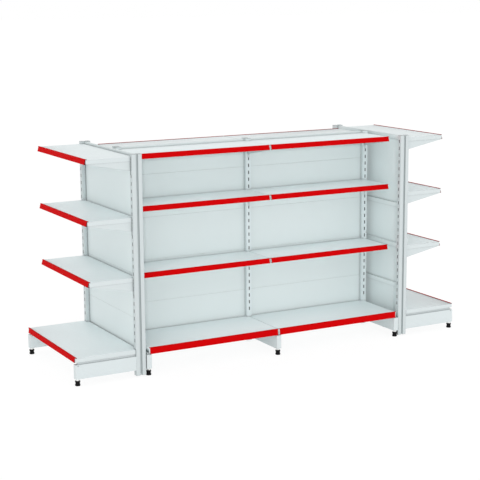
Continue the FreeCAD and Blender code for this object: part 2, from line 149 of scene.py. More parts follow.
class NodeTree:
    """A small helper that adds and links shader nodes in one tree."""

    def __init__(self, tree: bpy.types.NodeTree) -> None:
        """Keep the tree."""
        self.tree = tree

    def add(self, kind: str, **settings: object) -> bpy.types.Node:
        """Add a node.

        Args:
            kind: the node's type name, such as ShaderNodeTexNoise.
            settings: attributes to set on it.

        Returns:
            The new node.
        """
        node = self.tree.nodes.new(kind)
        for key, value in settings.items():
            setattr(node, key, value)
        return node

    def feed(self, source: Socket | float | Sequence[float], target: Socket) -> None:
        """Link a socket to the target, or set the target's own value.

        Args:
            source: the socket or the value.
            target: the socket that takes it.
        """
        if isinstance(source, bpy.types.NodeSocket):
            self.tree.links.new(source, target)
        else:
            target.default_value = source

    def noise(self, vector: Socket, scale: Socket | float, detail: float,
              roughness: float = 0.5) -> Socket:
        """Noise of about one lump per 1 / scale metres.

        Args:
            vector: where the noise is read.
            scale: lumps in a metre.
            detail: layers of finer noise.
            roughness: how strong the finer layers are.

        Returns:
            The value socket, from 0 to 1 with its middle at 0.5.
        """
        node = self.add("ShaderNodeTexNoise")
        self.feed(vector, node.inputs["Vector"])
        self.feed(scale, node.inputs["Scale"])
        node.inputs["Detail"].default_value = detail
        node.inputs["Roughness"].default_value = roughness
        return node.outputs["Fac"]

    def math(self, operation: str, *values: Socket | float) -> Socket:
        """Work out one to three values.

        Args:
            operation: the Math node's operation.
            values: sockets or numbers, in the node's order.

        Returns:
            The socket of the result.
        """
        node = self.add("ShaderNodeMath", operation=operation)
        for value, target in zip(values, node.inputs):
            self.feed(value, target)
        return node.outputs["Value"]

    def scaled_color(self, color: Socket | Color, factor: Socket) -> Socket:
        """Multiply a colour by a value.

        Args:
            color: the colour.
            factor: the value.

        Returns:
            The socket of the product.
        """
        node = self.add("ShaderNodeVectorMath", operation="SCALE")
        self.feed(color, node.inputs["Vector"])
        self.feed(factor, node.inputs["Scale"])
        return node.outputs["Vector"]


def new_group(name: str, inputs: dict[str, str],
              outputs: dict[str, str]) -> tuple[NodeTree, dict, dict]:
    """Start a shader node group with named sockets.

    Args:
        name: the group's name.
        inputs: socket name to socket type.
        outputs: socket name to socket type.

    Returns:
        The tree helper, the sockets to read from and the sockets to feed.
    """
    group = bpy.data.node_groups.new(name, "ShaderNodeTree")
    for label, kind in inputs.items():
        group.interface.new_socket(label, in_out="INPUT", socket_type=kind)
    for label, kind in outputs.items():
        group.interface.new_socket(label, in_out="OUTPUT", socket_type=kind)
    tree = NodeTree(group)
    entry = tree.add("NodeGroupInput")
    leave = tree.add("NodeGroupOutput")
    return tree, entry.outputs, leave.inputs


def make_grain_group() -> bpy.types.NodeTree:
    """Fine surface grain with a slow drift of tone, for coats and mouldings.

    The grain is noise at the given size. The tone drifts with noise a few hundred millimetres wide, and the
    roughness with noise a few centimetres wide.

    Returns:
        The node group.
    """
    tree, given, result = new_group(
        "surface_grain",
        {"Vector": VECTOR, "Color": COLOR, "Grain Size": FLOAT, "Tone Drift": FLOAT,
         "Roughness": FLOAT, "Roughness Drift": FLOAT},
        {"Color": COLOR, "Roughness": FLOAT, "Height": FLOAT})
    fineness = tree.math("DIVIDE", 1.0, given["Grain Size"])
    grain = tree.noise(given["Vector"], fineness, detail=3.0, roughness=0.55)
    slow = tree.noise(given["Vector"], TONE_DRIFT_SCALE, detail=3.0)
    patch = tree.noise(given["Vector"], ROUGHNESS_DRIFT_SCALE, detail=4.0, roughness=0.6)
    slow_swing = tree.math("SUBTRACT", slow, NOISE_MIDDLE)
    grain_swing = tree.math("SUBTRACT", grain, NOISE_MIDDLE)
    patch_swing = tree.math("SUBTRACT", patch, NOISE_MIDDLE)
    tone = tree.math("MULTIPLY_ADD", slow_swing, given["Tone Drift"], 1.0)
    speck_drift = tree.math("MULTIPLY", given["Tone Drift"], SPECK_SHARE)
    speck = tree.math("MULTIPLY_ADD", grain_swing, speck_drift, tone)
    tree.feed(tree.scaled_color(given["Color"], speck), result["Color"])
    rough = tree.math("MULTIPLY_ADD", patch_swing, given["Roughness Drift"], given["Roughness"])
    tree.feed(rough, result["Roughness"])
    tree.feed(grain, result["Height"])
    return tree.tree


def make_crevice_group() -> bpy.types.NodeTree:
    """Shade that gathers in folds, gaps and inner corners.

    Two occlusion measures, one over a fold's width and one over a hand's width, each darken the colour by
    their own share: colour * (1 - fold share * (1 - near)) * (1 - corner share * (1 - far)).

    Returns:
        The node group.
    """
    tree, given, result = new_group(
        "crevice_shade",
        {"Color": COLOR, "Fold Share": FLOAT, "Fold Reach": FLOAT,
         "Corner Share": FLOAT, "Corner Reach": FLOAT},
        {"Color": COLOR})
    shade: Socket | float = 1.0
    for label in ("Fold", "Corner"):
        occlusion = tree.add("ShaderNodeAmbientOcclusion", samples=CREVICE_SAMPLES)
        tree.feed(given[label + " Reach"], occlusion.inputs["Distance"])
        hidden = tree.math("SUBTRACT", 1.0, occlusion.outputs["AO"])
        kept = tree.math("SUBTRACT", 1.0, tree.math("MULTIPLY", hidden, given[label + " Share"]))
        shade = tree.math("MULTIPLY", shade, kept)
    tree.feed(tree.scaled_color(given["Color"], shade), result["Color"])
    return tree.tree


@dataclass(frozen=True)
class Crevice:
    """How strongly shade gathers in a finish's folds and corners, and how far it reaches in metres."""

    fold_share: float = 0.0
    fold_reach: float = 0.016
    corner_share: float = 0.0
    corner_reach: float = 0.09


@dataclass(frozen=True)
class Grain:
    """Surface grain of one finish, in metres where it is a length."""

    size: float
    depth: float
    tone_drift: float
    roughness_drift: float


@dataclass(frozen=True)
class Finish:
    """A solid finish: colour, gloss, grain and the shade in its folds."""

    name: str
    color: Color
    roughness: float
    grain: Grain
    metallic: float = 0.0
    specular: float = 0.5
    crevice: Crevice = Crevice()

    def material(self, grain_group: bpy.types.NodeTree,
                 crevice_group: bpy.types.NodeTree) -> bpy.types.Material:
        """Build the finish as a node material.

        Args:
            grain_group: the shared grain group.
            crevice_group: the shared group of shade in folds.

        Returns:
            The material.
        """
        material = bpy.data.materials.new(self.name)
        material.use_nodes = True
        tree = NodeTree(material.node_tree)
        tree.tree.nodes.clear()
        output = tree.add("ShaderNodeOutputMaterial")
        shader = tree.add("ShaderNodeBsdfPrincipled")
        place = tree.add("ShaderNodeTexCoord")
        grain = tree.add("ShaderNodeGroup", node_tree=grain_group)
        tree.feed(place.outputs["Object"], grain.inputs["Vector"])
        grain.inputs["Color"].default_value = (*self.color, 1.0)
        grain.inputs["Grain Size"].default_value = self.grain.size
        grain.inputs["Tone Drift"].default_value = self.grain.tone_drift
        grain.inputs["Roughness"].default_value = self.roughness
        grain.inputs["Roughness Drift"].default_value = self.grain.roughness_drift
        bump = tree.add("ShaderNodeBump")
        bump.inputs["Strength"].default_value = 1.0
        bump.inputs["Distance"].default_value = self.grain.depth
        tree.feed(grain.outputs["Height"], bump.inputs["Height"])
        shade = tree.add("ShaderNodeGroup", node_tree=crevice_group)
        shade.inputs["Fold Share"].default_value = self.crevice.fold_share
        shade.inputs["Fold Reach"].default_value = self.crevice.fold_reach
        shade.inputs["Corner Share"].default_value = self.crevice.corner_share
        shade.inputs["Corner Reach"].default_value = self.crevice.corner_reach
        tree.feed(grain.outputs["Color"], shade.inputs["Color"])
        tree.feed(shade.outputs["Color"], shader.inputs["Base Color"])
        tree.feed(grain.outputs["Roughness"], shader.inputs["Roughness"])
        tree.feed(bump.outputs["Normal"], shader.inputs["Normal"])
        shader.inputs["Metallic"].default_value = self.metallic
        shader.inputs["Specular IOR Level"].default_value = self.specular
        tree.feed(shader.outputs["BSDF"], output.inputs["Surface"])
        return material


POWDER_GRAIN = Grain(size=0.0016, depth=0.00003, tone_drift=0.025, roughness_drift=0.08)
PAINT_CREVICE = Crevice(fold_share=0.6, corner_share=0.06)
PANEL_CREVICE = Crevice(fold_share=0.5, corner_share=0.12, corner_reach=0.06)
DECK_CREVICE = Crevice(fold_share=0.5, corner_share=0.08, corner_reach=0.06)
STRIP_GRAIN = Grain(size=0.0011, depth=0.00001, tone_drift=0.05, roughness_drift=0.06)
# The frame is one white powder coat. The tones below differ from part to part as painted light and shade,
# for how the light falls on each part.
MAIN_UPRIGHT_PAINT = Finish("main_upright_paint", (0.763, 0.833, 0.845), 0.42, POWDER_GRAIN,
                            crevice=PAINT_CREVICE)
# The end uprights take the white coat made darker: painted shade.
END_UPRIGHT_PAINTED_SHADE = Finish("end_upright_painted_shade", (0.598, 0.655, 0.664), 0.42, POWDER_GRAIN,
                           crevice=PAINT_CREVICE)
# Grey of painted shade on the floors of the panel grooves.
GROOVE_PAINTED_SHADE = Finish("groove_painted_shade", (0.49, 0.54, 0.545), 0.6, POWDER_GRAIN, specular=0.2)
# Near black of painted shade on the tubes' insides and the slots' edges, so that the slots read dark.
TUBE_INSIDE_PAINTED_SHADE = Finish("tube_inside_painted_shade", (0.02, 0.022, 0.023), 0.8,
                     Grain(size=0.003, depth=0.00005, tone_drift=0.4, roughness_drift=0.1), specular=0.1)
# The legs take the white coat made darker: painted shade.
LEG_PAINTED_SHADE = Finish("leg_painted_shade", (0.668, 0.729, 0.739), 0.42, POWDER_GRAIN, crevice=PAINT_CREVICE)
PANEL_PAINT = Finish("panel_paint", (0.757, 0.825, 0.827), 0.46, POWDER_GRAIN, crevice=PANEL_CREVICE)
# The end panels take the white coat made lighter than the main panels: painted light.
END_PANEL_PAINTED_LIGHT = Finish("end_panel_painted_light", (0.80, 0.873, 0.875), 0.46, POWDER_GRAIN,
                         crevice=PANEL_CREVICE)
DECK_PAINT = Finish("deck_paint", (0.86, 0.937, 0.947), 0.44, POWDER_GRAIN, crevice=DECK_CREVICE)
# The deck's white made darker for the side folds of the end bays: painted shade.
FOLD_PAINTED_SHADE = Finish("fold_painted_shade", (0.655, 0.714, 0.722), 0.44, POWDER_GRAIN, crevice=DECK_CREVICE)
# The brackets take the white coat made darker: painted shade.
BRACKET_PAINTED_SHADE = Finish("bracket_paint", (0.635, 0.694, 0.702), 0.42, POWDER_GRAIN, crevice=PAINT_CREVICE)
# Near black of painted shade for the shadowed gap at the end brackets' heels.
HEEL_PAINTED_SHADE = Finish("bracket_heel_painted_shade", (0.08, 0.088, 0.09), 0.6, POWDER_GRAIN, specular=0.1)
STRIP_RED = Finish("strip_red", (0.60, 0.0010, 0.002), 0.55, STRIP_GRAIN, specular=0.02)
# Dark red of painted shade for the lip's back and the strips' ends.
STRIP_EDGE_PAINTED_SHADE = Finish("strip_edge_painted_shade", (0.10, 0.0040, 0.006), 0.55, STRIP_GRAIN, specular=0.0)
CAP_PLASTIC = Finish("cap_plastic", (0.48, 0.525, 0.53), 0.55,
                     Grain(size=0.0009, depth=0.00002, tone_drift=0.04, roughness_drift=0.08), specular=0.3)
FOOT_BLACK = Finish("foot_black", (0.004, 0.004, 0.0045), 0.5,
                    Grain(size=0.0008, depth=0.00004, tone_drift=0.2, roughness_drift=0.12), specular=0.12)
ZINC = Finish("zinc_plate", (0.80, 0.81, 0.80), 0.42,
              Grain(size=0.0025, depth=0.00002, tone_drift=0.22, roughness_drift=0.15), metallic=0.7)
FINISHES = (MAIN_UPRIGHT_PAINT, END_UPRIGHT_PAINTED_SHADE, GROOVE_PAINTED_SHADE, TUBE_INSIDE_PAINTED_SHADE, LEG_PAINTED_SHADE, PANEL_PAINT,
            END_PANEL_PAINTED_LIGHT, DECK_PAINT, FOLD_PAINTED_SHADE, BRACKET_PAINTED_SHADE, HEEL_PAINTED_SHADE, STRIP_RED, STRIP_EDGE_PAINTED_SHADE,
            CAP_PLASTIC, FOOT_BLACK, ZINC)

Materials = dict[str, bpy.types.Material]


def rounded(corners: np.ndarray, radius: float, steps: int) -> np.ndarray:
    """Round every corner of a closed outline.

    Each corner becomes a quadratic curve that leaves its two edges at the radius, or at under half of the
    shorter edge where that is less: (1 - t)^2 a + 2 t (1 - t) p + t^2 b, with p the corner and a and b the
    points on its edges.

    Args:
        corners: the outline's corners, as rows of two numbers.
        radius: how far from the corner the curve starts.
        steps: points on each curve.

    Returns:
        The rounded outline, as rows of two numbers.
    """
    before = np.roll(corners, 1, axis=0) - corners
    after = np.roll(corners, -1, axis=0) - corners
    before_length = np.linalg.norm(before, axis=1, keepdims=True)
    after_length = np.linalg.norm(after, axis=1, keepdims=True)
    reach = np.minimum(radius, CORNER_EDGE_SHARE * np.minimum(before_length, after_length))
    start = corners + before / before_length * reach
    end = corners + after / after_length * reach
    t = np.linspace(0.0, 1.0, steps)[None, :, None]
    curve = ((1.0 - t) ** 2 * start[:, None] + 2.0 * t * (1.0 - t) * corners[:, None]
             + t ** 2 * end[:, None])
    return curve.reshape(-1, 2)


def add_object(name: str, data: bpy.types.ID) -> bpy.types.Object:
    """Make an object and link it to the scene.

    Args:
        name: the object's name.
        data: its mesh, lamp or camera.

    Returns:
        The object.
    """
    made = bpy.data.objects.new(name, data)
    bpy.context.scene.collection.objects.link(made)
    return made


def set_finishes(mesh: bpy.types.Mesh, finishes: Sequence[bpy.types.Material]) -> None:
    """Give a mesh its finishes, in the order of their numbers.

    Args:
        mesh: the mesh.
        finishes: the finishes, the first for faces of number 0.
    """
    mesh.materials.clear()
    for finish in finishes:
        mesh.materials.append(finish)


def face_vectors(mesh: bpy.types.Mesh, attribute: str) -> np.ndarray:
    """Read one vector for each face.

    Args:
        mesh: the mesh.
        attribute: center or normal.

    Returns:
        Rows of three numbers.
    """
    values = np.empty(3 * len(mesh.polygons))
    mesh.polygons.foreach_get(attribute, values)
    return values.reshape(-1, 3)


def smooth_below(mesh: bpy.types.Mesh, angle: float) -> None:
    """Shade a mesh smoothly, with its edges sharp above an angle in degrees."""
    mesh.shade_smooth()
    mesh.set_sharp_from_angle(angle=math.radians(angle))


@dataclass
class Surface:
    """Points and faces gathered for one mesh, with a finish number on each face."""

    points: list[np.ndarray] = field(default_factory=list)
    faces: list[list[int]] = field(default_factory=list)
    slots: list[int] = field(default_factory=list)
    count: int = 0

    def add_tube(self, rings: np.ndarray, slots: int | np.ndarray = 0, end_slot: int = 0) -> None:
        """Add closed rings joined by quads, with a flat face at each end.

        Args:
            rings: array of rings by points by 3.
            slots: the finish number of the whole tube, or one for each step round a ring.
            end_slot: the finish number of the two end faces.
        """
        ring_count, ring_size, _ = rings.shape
        index = self.count + np.arange(ring_count * ring_size).reshape(ring_count, ring_size)
        turned = np.roll(index, -1, axis=1)
        quads = np.stack([index[:-1], turned[:-1], turned[1:], index[1:]], axis=-1).reshape(-1, 4)
        around = np.broadcast_to(slots, ring_size)
        self.points.append(rings.reshape(-1, 3))
        self.faces += quads.tolist() + [index[0, ::-1].tolist(), index[-1].tolist()]
        self.slots += np.tile(around, ring_count - 1).tolist() + [end_slot] * 2
        self.count += ring_count * ring_size

    def to_object(self, name: str, finishes: Sequence[bpy.types.Material],
                  smooth_angle: float) -> bpy.types.Object:
        """Make the mesh object, with its normals outwards and its edges sharp above an angle.

        Args:
            name: the object's name.
            finishes: the finishes by number.
            smooth_angle: in degrees.

        Returns:
            The object, linked to the scene.
        """
        mesh = bpy.data.meshes.new(name)
        mesh.from_pydata(np.concatenate(self.points).tolist(), [], self.faces)
        set_finishes(mesh, finishes)
        mesh.polygons.foreach_set("material_index", np.array(self.slots, dtype=np.int32))
        work = bmesh.new()
        work.from_mesh(mesh)
        bmesh.ops.recalc_face_normals(work, faces=work.faces)
        work.to_mesh(mesh)
        work.free()
        smooth_below(mesh, smooth_angle)
        return add_object(name, mesh)


@dataclass
class PriceStrips:
    """Red clip-on strips: a top lip over the deck, a leaning face with a ticket channel, and a foot lip."""

    wall: float = 0.0025
    rise: float = 0.003
    lip: float = 0.010
    foot_lip: float = 0.006
    snap: float = 0.0005
    channel_depth: float = 0.0007
    channel_start: float = 0.14
    channel_end: float = 0.86
    edge_radius: float = 0.0009
    upper_depth: float = 0.3095
    upper_skirt: float = 0.028
    upper_tilt: float = 0.009
    base_depth: float = 0.4255
    base_main_skirt: float = 0.038
    base_end_skirt: float = 0.028
    base_tilt: float = 0.005
    main_lip_end: float = 0.497
    end_lip_end: float = 0.437
    base_end_lip_end: float = 0.455
    face_inset: float = 0.005
    base_end_face_inset: float = 0.015
    stations: int = 48
    lip_stations: int = 3
    corner_steps: int = 4
    smooth_angle: float = 40.0

    def section(self, depth: float, skirt: float, tilt: float, deck_top: float) -> np.ndarray:
        """The whole section in (out from the panel plane, up), with the channel sunk in the face.

        The face runs straight from its top to its leaning bottom, and the channel is the middle part of
        that line moved in by the channel's depth.

        Args:
            depth: the deck's depth from the slotted face.
            skirt: the height of the deck's front fold.
            tilt: how far the face leans out at its bottom.
            deck_top: the deck's height.

        Returns:
            The rounded outline, as rows of two numbers.
        """
        front = SLOTTED_FACE + depth + self.wall
        top = deck_top + self.rise
        low = deck_top - skirt - self.snap - self.wall
        face_top = np.array([front, top])
        face_low = np.array([front + tilt, low])
        inward = np.array([-self.channel_depth, 0.0])
        start = face_top + (face_low - face_top) * self.channel_start
        end = face_top + (face_low - face_top) * self.channel_end
        foot_back = front - self.foot_lip
        inner_low = np.array([front + tilt - self.wall, low + self.wall])
        corners = [face_top, start, start + inward, end + inward, end, face_low, (foot_back, low),
                   (foot_back, low + self.wall), inner_low, (front - self.wall, deck_top),
                   (front - self.lip, deck_top), (front - self.lip, top)]
        outline = np.array([np.asarray(corner) for corner in corners])
        return rounded(outline, self.edge_radius, self.corner_steps)

    def lip_section(self, depth: float, deck_top: float) -> np.ndarray:
        """The section of the top lip alone, for the ends where the face has stopped.

        Args:
            depth: the deck's depth from the slotted face.
            deck_top: the deck's height.

        Returns:
            The rounded outline, as rows of two numbers.
        """
        front = SLOTTED_FACE + depth + self.wall
        top = deck_top + self.rise
        back = front - self.lip
        corners = [(front, top), (front, deck_top), (back, deck_top), (back, top)]
        return rounded(np.array(corners), self.edge_radius, self.corner_steps)

    def add_strip(self, surface: Surface, side: BaySide, section: np.ndarray, lip: np.ndarray,
                  lip_end: float, face_end: float) -> None:
        """Carry the sections along the bay: the whole one between the face's ends, the lip's beyond them.

        The back of the lip and the ends of the strip take the second finish, a dark red of painted shade.

        Args:
            surface: where the strip is added.
            side: the bay side.
            section: the whole section.
            lip: the section of the lip alone.
            lip_end: how far the lip reaches from the middle of the bay.
            face_end: how far the face reaches.
        """
        spans = ((section, np.linspace(-face_end, face_end, self.stations)),
                 (lip, np.linspace(face_end, lip_end, self.lip_stations)),
                 (lip, np.linspace(-lip_end, -face_end, self.lip_stations)))
        for outline, along in spans:
            rings = np.empty((len(along), len(outline), 3))
            rings[:, :, 0] = along[:, None]
            rings[:, :, 1:] = outline[None]
            # An outline ends with the lip's back face and the rounding above it.
            past_back = np.arange(len(outline)) - (len(outline) - self.corner_steps - 1)
            on_back = (past_back >= 0) & (past_back < self.corner_steps - 1)
            surface.add_tube(side.place(rings), on_back.astype(int), 1)

    def build(self, materials: Materials) -> None:
        """Make every strip and hang it on its deck's body.

        Args:
            materials: the materials by finish name.
        """
        finishes = [materials[finish.name] for finish in (STRIP_RED, STRIP_EDGE_PAINTED_SHADE)]
        for side in BaySide:
            lip_end = self.end_lip_end if side.is_end else self.main_lip_end
            for level in Level:
                top = side.deck_top(level)
                section = self.section(self.upper_depth, self.upper_skirt, self.upper_tilt, top)
                lip = self.lip_section(self.upper_depth, top)
                surface = Surface()
                self.add_strip(surface, side, section, lip, lip_end, lip_end - self.face_inset)
                shelf = side.label + "_" + level.label
                piece = surface.to_object("price_strip_" + shelf, finishes, self.smooth_angle)
                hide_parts("strip_" + shelf)
                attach(piece, "shelf_" + shelf)
                LOG.info("price strip of %s", shelf)
        self.build_base(finishes)

    def build_base(self, finishes: Sequence[bpy.types.Material]) -> None:
        """Make the six base strips as one fixed piece.

        Args:
            finishes: the strips' two finishes.
        """
        surface = Surface()
        for side in BaySide:
            skirt = self.base_end_skirt if side.is_end else self.base_main_skirt
            lip_end = self.base_end_lip_end if side.is_end else self.main_lip_end
            inset = self.base_end_face_inset if side.is_end else self.face_inset
            section = self.section(self.base_depth, skirt, self.base_tilt, BASE_DECK_TOP)
            lip = self.lip_section(self.base_depth, BASE_DECK_TOP)
            self.add_strip(surface, side, section, lip, lip_end, lip_end - inset)
        piece = surface.to_object("price_strips_of_base", finishes, self.smooth_angle)
        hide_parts("base_price_strips")
        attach(piece, FRAME_BODY)
        LOG.info("price strips of the base decks")


@dataclass
class LevellingFeet:
    """Black moulded feet with a fluted collar, on threaded zinc studs with a hexagon."""

    main_out: float = 0.447
    end_out: float = 1.504
    end_turn: float = 90.0
    moulding_height: float = 0.033
    sole_centre: float = 0.0005
    pad_radius: float = 0.0175
    pad_height: float = 0.010
    pad_edge: float = 0.001
    taper: float = 0.003
    waist_radius: float = 0.015
    collar_radius: float = 0.0175
    collar_height: float = 0.009
    collar_taper: float = 0.002
    profile_steps: int = 60
    stud_radius: float = 0.005
    stud_low: float = 0.032
    stud_top: float = 0.078
    thread_pitch: float = 0.0015
    thread_depth: float = 0.0008
    rings_per_turn: int = 6
    hexagon_low: float = 0.034
    hexagon_top: float = 0.046
    hexagon_flat: float = 0.012
    hexagon_chamfer: float = 0.0008
    hexagon_cone: float = 60.0
    hexagon_end: float = 0.003
    hexagon_end_rings: int = 7
    flutes: int = 16
    flute_depth: float = 0.0009
    flute_fade: float = 0.1
    segments: int = 96
    stud_segments: int = 40
    smooth_angle: float = 35.0

    def spots(self) -> dict[str, tuple[float, float, float]]:
        """Where the feet stand.

        Returns:
            Each foot's name with its x, its y and the turn of its hexagon in degrees.
        """
        places = {}
        for row, y in (("front", -self.main_out), ("rear", self.main_out)):
            for column, x in (("left", -BAY_LENGTH), ("middle", 0.0), ("right", BAY_LENGTH)):
                places[row + "_" + column] = (x, y, 0.0)
        for end, x in (("left_end", -self.end_out), ("right_end", self.end_out)):
            for row, y in (("front", -END_HALF_BAY), ("rear", END_HALF_BAY)):
                places[end + "_" + row] = (x, y, self.end_turn)
        return places

    @staticmethod
    def angles(segments: int) -> np.ndarray:
        """Even steps round the axis, as one row."""
        return np.linspace(0.0, FULL_TURN, segments, endpoint=False)[None]

    @staticmethod
    def turned(radius: np.ndarray, height: np.ndarray, angle: np.ndarray) -> np.ndarray:
        """Rings of points at a radius and height round the vertical axis."""
        level = np.broadcast_to(height, radius.shape)
        return np.stack([radius * np.cos(angle), radius * np.sin(angle), level], axis=-1)

    def moulding(self) -> np.ndarray:
        """The moulding's rings.

        The profile is turned about the axis. On the collar the radius is drawn in by the flute depth times
        a cosine wave that only keeps its crests, so that narrow hollows stand between broad lands.

        Returns:
            An array of rings by points by 3.
        """
        collar_low = self.moulding_height - self.collar_height
        profile = np.array([(self.sole_centre, 0.0),
                            (self.pad_radius - self.pad_edge, 0.0),
                            (self.pad_radius, self.pad_edge),
                            (self.pad_radius, self.pad_height),
                            (self.waist_radius, self.pad_height + self.taper),
                            (self.waist_radius, collar_low - self.collar_taper),
                            (self.collar_radius, collar_low),
                            (self.collar_radius, self.moulding_height),
                            (self.stud_radius, self.moulding_height)])
        steps = np.linalg.norm(np.diff(profile, axis=0), axis=1)
        lengths = np.concatenate([[0.0], np.cumsum(steps)])
        even = np.linspace(0.0, lengths[-1], self.profile_steps)
        along = np.unique(np.concatenate([lengths, even]))
        radius = np.interp(along, lengths, profile[:, 0])[:, None]
        height = np.interp(along, lengths, profile[:, 1])[:, None]
        angle = self.angles(self.segments)
        on_collar = np.clip((height - collar_low) / self.collar_taper + 1.0, 0.0, 1.0)
        fade = self.waist_radius * self.flute_fade
        on_edge = np.clip((radius - self.waist_radius) / fade + 1.0, 0.0, 1.0)
        wave = np.clip(np.cos(self.flutes * angle), 0.0, 1.0) ** 2
        return self.turned(radius - self.flute_depth * on_collar * on_edge * wave, height, angle)

    def stud(self) -> np.ndarray:
        """The stud's rings.

        The thread is a triangle wave of the height less one pitch for each turn, which cuts into the
        radius.

        Returns:
            An array of rings by points by 3.
        """
        rings = int((self.stud_top - self.stud_low) / self.thread_pitch * self.rings_per_turn)
        height = np.linspace(self.stud_low, self.stud_top, rings)[:, None]
        angle = self.angles(self.stud_segments)
        turn = height / self.thread_pitch - angle / FULL_TURN
        groove = np.abs(2.0 * (turn - np.floor(turn)) - 1.0)
        return self.turned(self.stud_radius - self.thread_depth * groove, height, angle)

    def hexagon(self, turn: float) -> np.ndarray:
        """The hexagon's rings: the distance to the flats, cut by a cone near the two ends.

        Args:
            turn: the hexagon's turn in degrees.

        Returns:
            An array of rings by points by 3.
        """
        into = np.linspace(0.0, self.hexagon_end, self.hexagon_end_rings)
        height = np.concatenate([self.hexagon_low + into, self.hexagon_top - into[::-1]])[:, None]
        angle = self.angles(self.segments)
        sector = FULL_TURN / 6.0
        across = self.hexagon_flat / np.cos(np.mod(angle, sector) - sector / 2.0)
        from_end = np.minimum(height - self.hexagon_low, self.hexagon_top - height)
        slope = math.tan(math.radians(self.hexagon_cone))
        cone = self.hexagon_flat - self.hexagon_chamfer + slope * from_end
        return self.turned(np.minimum(across, cone), height, angle + math.radians(turn))

    def build(self, materials: Materials) -> None:
        """Make every foot and hang it on its own body.

        Args:
            materials: the materials by finish name.
        """
        finishes = [materials[FOOT_BLACK.name], materials[ZINC.name]]
        moulding = self.moulding()
        stud = self.stud()
        for label, (x, y, turn) in self.spots().items():
            spot = np.array([x, y, 0.0])
            surface = Surface()
            surface.add_tube(moulding + spot, 0)
            surface.add_tube(stud + spot, 1, 1)
            surface.add_tube(self.hexagon(turn) + spot, 1, 1)
            piece = surface.to_object("fluted_foot_" + label, finishes, self.smooth_angle)
            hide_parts("foot_" + label)
            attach(piece, "levelling_foot_" + label)
            LOG.info("foot %s", label)


@dataclass
class Uprights:
    """The slotted tubes, painted outside, with grey painted shade in the panel grooves and near-black
    painted shade inside.
    """

    half_width: float = 0.020
    half_depth: float = SLOTTED_FACE
    chamfer: float = 0.002
    groove_half: float = 0.008
    groove_floor: float = 0.007
    slack: float = 0.0002
    main_axes: tuple[Place, ...] = ((-BAY_LENGTH, 0.0), (0.0, 0.0), (BAY_LENGTH, 0.0))
    end_axes: tuple[Place, ...] = ((-END_PLANE, -END_HALF_BAY), (-END_PLANE, END_HALF_BAY),
                                   (END_PLANE, -END_HALF_BAY), (END_PLANE, END_HALF_BAY))

    def finish_numbers(self, centres: np.ndarray, axes: Sequence[Place], crosswise: bool) -> np.ndarray:
        """Sort faces by where their centres lie in the tube's section.

        Args:
            centres: face centres.
            axes: the tubes' axes.
            crosswise: whether the wide sides face along X (main run) or along Y (end bays).

        Returns:
            0 for the outside, 1 for the grooves' painted shade and 2 for the painted shade of the inside
            and the slots' edges.
        """
        offsets = centres[:, None, :2] - np.array(axes)[None]
        nearest = np.argmin(np.abs(offsets).sum(axis=2), axis=1)
        local = np.abs(offsets[np.arange(len(centres)), nearest])
        wide, deep = (local[:, 0], local[:, 1]) if crosswise else (local[:, 1], local[:, 0])
        corner = (self.half_width - wide) + (self.half_depth - deep)
        outside = ((wide > self.half_width - self.slack) | (deep > self.half_depth - self.slack)
                   | (corner < self.chamfer + self.slack))
        in_groove = (deep < self.groove_half + self.slack) & (wide > self.groove_floor - self.slack)
        return np.where(outside, 0, np.where(in_groove, 1, 2)).astype(np.int32)

    def build(self, nodes: dict[str, bpy.types.Object], materials: Materials) -> None:
        """Copy the tubes' meshes, merge their points and give their faces three finishes: the paint, and
        painted shade in the grooves and inside.

        Args:
            nodes: the solids by name.
            materials: the materials by finish name.
        """
        # The end uprights' outside tone is the darker one, painted shade.
        kinds = (("main_uprights", self.main_axes, True, MAIN_UPRIGHT_PAINT),
                 ("end_uprights", self.end_axes, False, END_UPRIGHT_PAINTED_SHADE))
        for node, axes, crosswise, paint in kinds:
            piece = merged_copy(nodes[node], "slotted_" + node)
            mesh = piece.data
            set_finishes(mesh, [materials[finish.name] for finish in (paint, GROOVE_PAINTED_SHADE, TUBE_INSIDE_PAINTED_SHADE)])
            numbers = self.finish_numbers(face_vectors(mesh, "center"), axes, crosswise)
            mesh.polygons.foreach_set("material_index", numbers)
            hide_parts(node)
            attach(piece, FRAME_BODY)
            LOG.info("%s with %d faces", node, len(mesh.polygons))


def merged_copy(node: bpy.types.Object, name: str) -> bpy.types.Object:
    """A new object with a solid's mesh, its split points merged.

    Args:
        node: the solid.
        name: the new object's name.

    Returns:
        The object, linked to the scene.
    """
    mesh = bpy.data.meshes.new(name)
    work = bmesh.new()
    work.from_mesh(node.data)
    bmesh.ops.remove_doubles(work, verts=work.verts, dist=MERGE_DISTANCE)
    work.to_mesh(mesh)
    work.free()
    return add_object(name, mesh)


